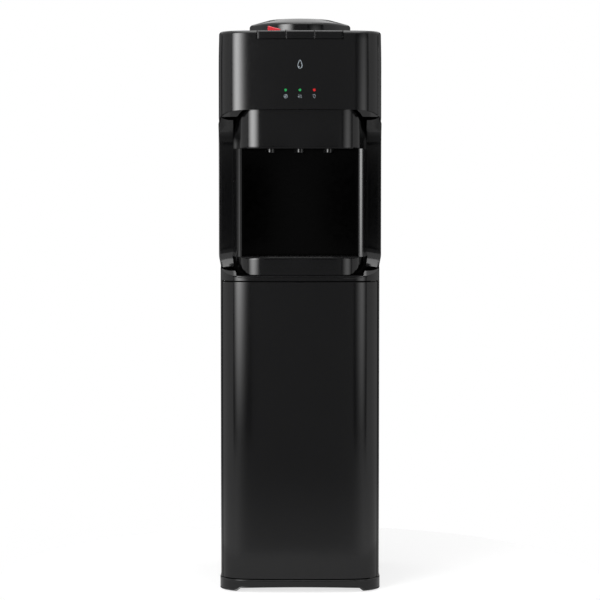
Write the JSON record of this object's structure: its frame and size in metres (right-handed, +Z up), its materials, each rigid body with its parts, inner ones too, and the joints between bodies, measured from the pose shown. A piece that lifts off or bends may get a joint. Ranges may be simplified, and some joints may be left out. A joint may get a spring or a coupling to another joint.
{
  "type": "water dispenser",
  "caption": "Floor-standing water dispenser with a bottle seat on top, finger keys above a tap alcove with a drip tray, and a storage cabinet behind a hinged door.",
  "frame": {"origin": "on the floor, in the middle of the bounding box", "axes": "+Z up, -Y out of the front with the door and taps, +X to the right of someone facing the front"},
  "size_m": [0.3144, 0.34, 1.1016],
  "materials": {
    "black_gloss": "gloss black moulded ABS",
    "black_mirror": "mirror-gloss near-black panel",
    "black_satin": "satin black moulded plastic",
    "black_metal": "satin black powder-coated sheet",
    "grey_liner": "satin grey formed liner",
    "steel_plate": "zinc-plated steel",
    "stainless": "stainless steel, dull",
    "chrome_trim": "dark bright chrome",
    "foot_rubber": "black rubber",
    "red_lock": "red gloss plastic",
    "green_lens": "lit green lens",
    "red_lens": "lit red lens",
    "circuit_board": "green board",
    "silicone": "milky silicone",
    "copper": "drawn copper tube",
    "foam": "white expanded foam",
    "compressor_black": "black enamelled steel"
  },
  "bodies": {
    "root": {"alcove_back_panel": "black_mirror", "alcove_columns": "black_gloss", "base_plinth": "black_satin", "bottle_seat": "black_gloss", "cabinet_liner": "grey_liner", "cold_tank": "stainless", "cold_tank_foam": "foam", "cold_tank_lid_and_baffle": "black_satin", "compressor": "compressor_black", "compressor_grommets": "foot_rubber", "condenser_clips": "black_satin", "condenser_tube": "black_metal", "condenser_wires": "black_metal", "cooling_coil": "copper", "cord_inlet": "black_satin", "door_hinges": "steel_plate", "door_magnet": "black_satin", "drain_plug": "black_satin", "feed_tube": "black_satin", "fill_pipe": "stainless", "filter_drier": "copper", "foot_pads": "foot_rubber", "head_cover": "black_gloss", "heater_band": "copper", "heating_lamp": "red_lens", "hot_tank": "stainless", "hot_tank_foam": "foam", "indicator_board": "circuit_board", "key_pivot_rod": "steel_plate", "left_side_panel": "black_metal", "panel_screws": "steel_plate", "ready_lamps": "green_lens", "rear_panel": "black_metal", "recess_moulding": "black_gloss", "refrigerant_pipes": "copper", "right_side_panel": "black_metal", "seat_gasket": "foot_rubber", "switch_plate": "black_satin", "tank_deck": "steel_plate", "tap_bodies": "black_satin", "tap_hoses": "silicone", "tap_housing": "black_gloss", "tap_nuts": "black_satin", "tap_spouts": "chrome_trim", "tray_shelf": "black_satin", "upper_deck": "steel_plate"},
    "door": {"door_skin": "black_gloss", "door_pan": "black_satin", "door_strike_plate": "steel_plate"},
    "tray": {"drip_tray": "black_gloss"},
    "grille": {"drip_grille": "black_satin"},
    "key_hot": {"hot_key": "black_gloss"},
    "key_ambient": {"ambient_key": "black_gloss"},
    "key_cold": {"cold_key": "black_gloss"},
    "lock": {"child_lock": "red_lock"},
    "rod_hot": {"hot_push_rod": "steel_plate"},
    "rod_ambient": {"ambient_push_rod": "steel_plate"},
    "rod_cold": {"cold_push_rod": "steel_plate"},
    "rocker_heating": {"heating_rocker": "black_satin"},
    "rocker_cooling": {"cooling_rocker": "black_satin"}
  },
  "joints": [
    {"name": "door_hinge", "type": "hinge", "parent": "root", "child": "door", "pos_m": [0.1435, -0.13882, 0.31], "axis": [0, 0, 1], "range_deg": [0, 110]},
    {"name": "tray_slide", "type": "slide", "parent": "root", "child": "tray", "axis": [0, -1, 0], "range_m": [0, 0.12]},
    {"name": "grille_lift", "type": "slide", "parent": "tray", "child": "grille", "axis": [0, 0, 1], "range_m": [0, 0.03]},
    {"name": "hot_key_press", "type": "hinge", "parent": "root", "child": "key_hot", "pos_m": [-0.0543, -0.112, 1.0615], "axis": [1, 0, 0], "range_deg": [0, 5.5], "stiffness_Nm_per_rad": 0.5, "springref_deg": -6.88},
    {"name": "hot_rod_slide", "type": "slide", "parent": "root", "child": "rod_hot", "axis": [0, 0, -1], "range_m": [0, 0.0026]},
    {"name": "ambient_key_press", "type": "hinge", "parent": "root", "child": "key_ambient", "pos_m": [0, -0.112, 1.0615], "axis": [1, 0, 0], "range_deg": [0, 5.5], "stiffness_Nm_per_rad": 0.5, "springref_deg": -6.88},
    {"name": "ambient_rod_slide", "type": "slide", "parent": "root", "child": "rod_ambient", "axis": [0, 0, -1], "range_m": [0, 0.0026]},
    {"name": "cold_key_press", "type": "hinge", "parent": "root", "child": "key_cold", "pos_m": [0.0543, -0.112, 1.0615], "axis": [1, 0, 0], "range_deg": [0, 5.5], "stiffness_Nm_per_rad": 0.5, "springref_deg": -6.88},
    {"name": "cold_rod_slide", "type": "slide", "parent": "root", "child": "rod_cold", "axis": [0, 0, -1], "range_m": [0, 0.0026]},
    {"name": "lock_slide", "type": "slide", "parent": "key_hot", "child": "lock", "axis": [-1, 0, 0], "range_m": [0, 0.006], "stiffness_N_per_m": 60, "springref_m": -0.004},
    {"name": "heating_rocker_tilt", "type": "hinge", "parent": "root", "child": "rocker_heating", "pos_m": [0.079, 0.157, 0.866], "axis": [1, 0, 0], "range_deg": [-8, 8]},
    {"name": "cooling_rocker_tilt", "type": "hinge", "parent": "root", "child": "rocker_cooling", "pos_m": [0.101, 0.157, 0.866], "axis": [1, 0, 0], "range_deg": [-8, 8]}
  ],
  "couplings": [
    {"joint": "hot_rod_slide", "follows": "hot_key_press", "m_per_rad": 0.0245},
    {"joint": "ambient_rod_slide", "follows": "ambient_key_press", "m_per_rad": 0.0245},
    {"joint": "cold_rod_slide", "follows": "cold_key_press", "m_per_rad": 0.0245}
  ]
}
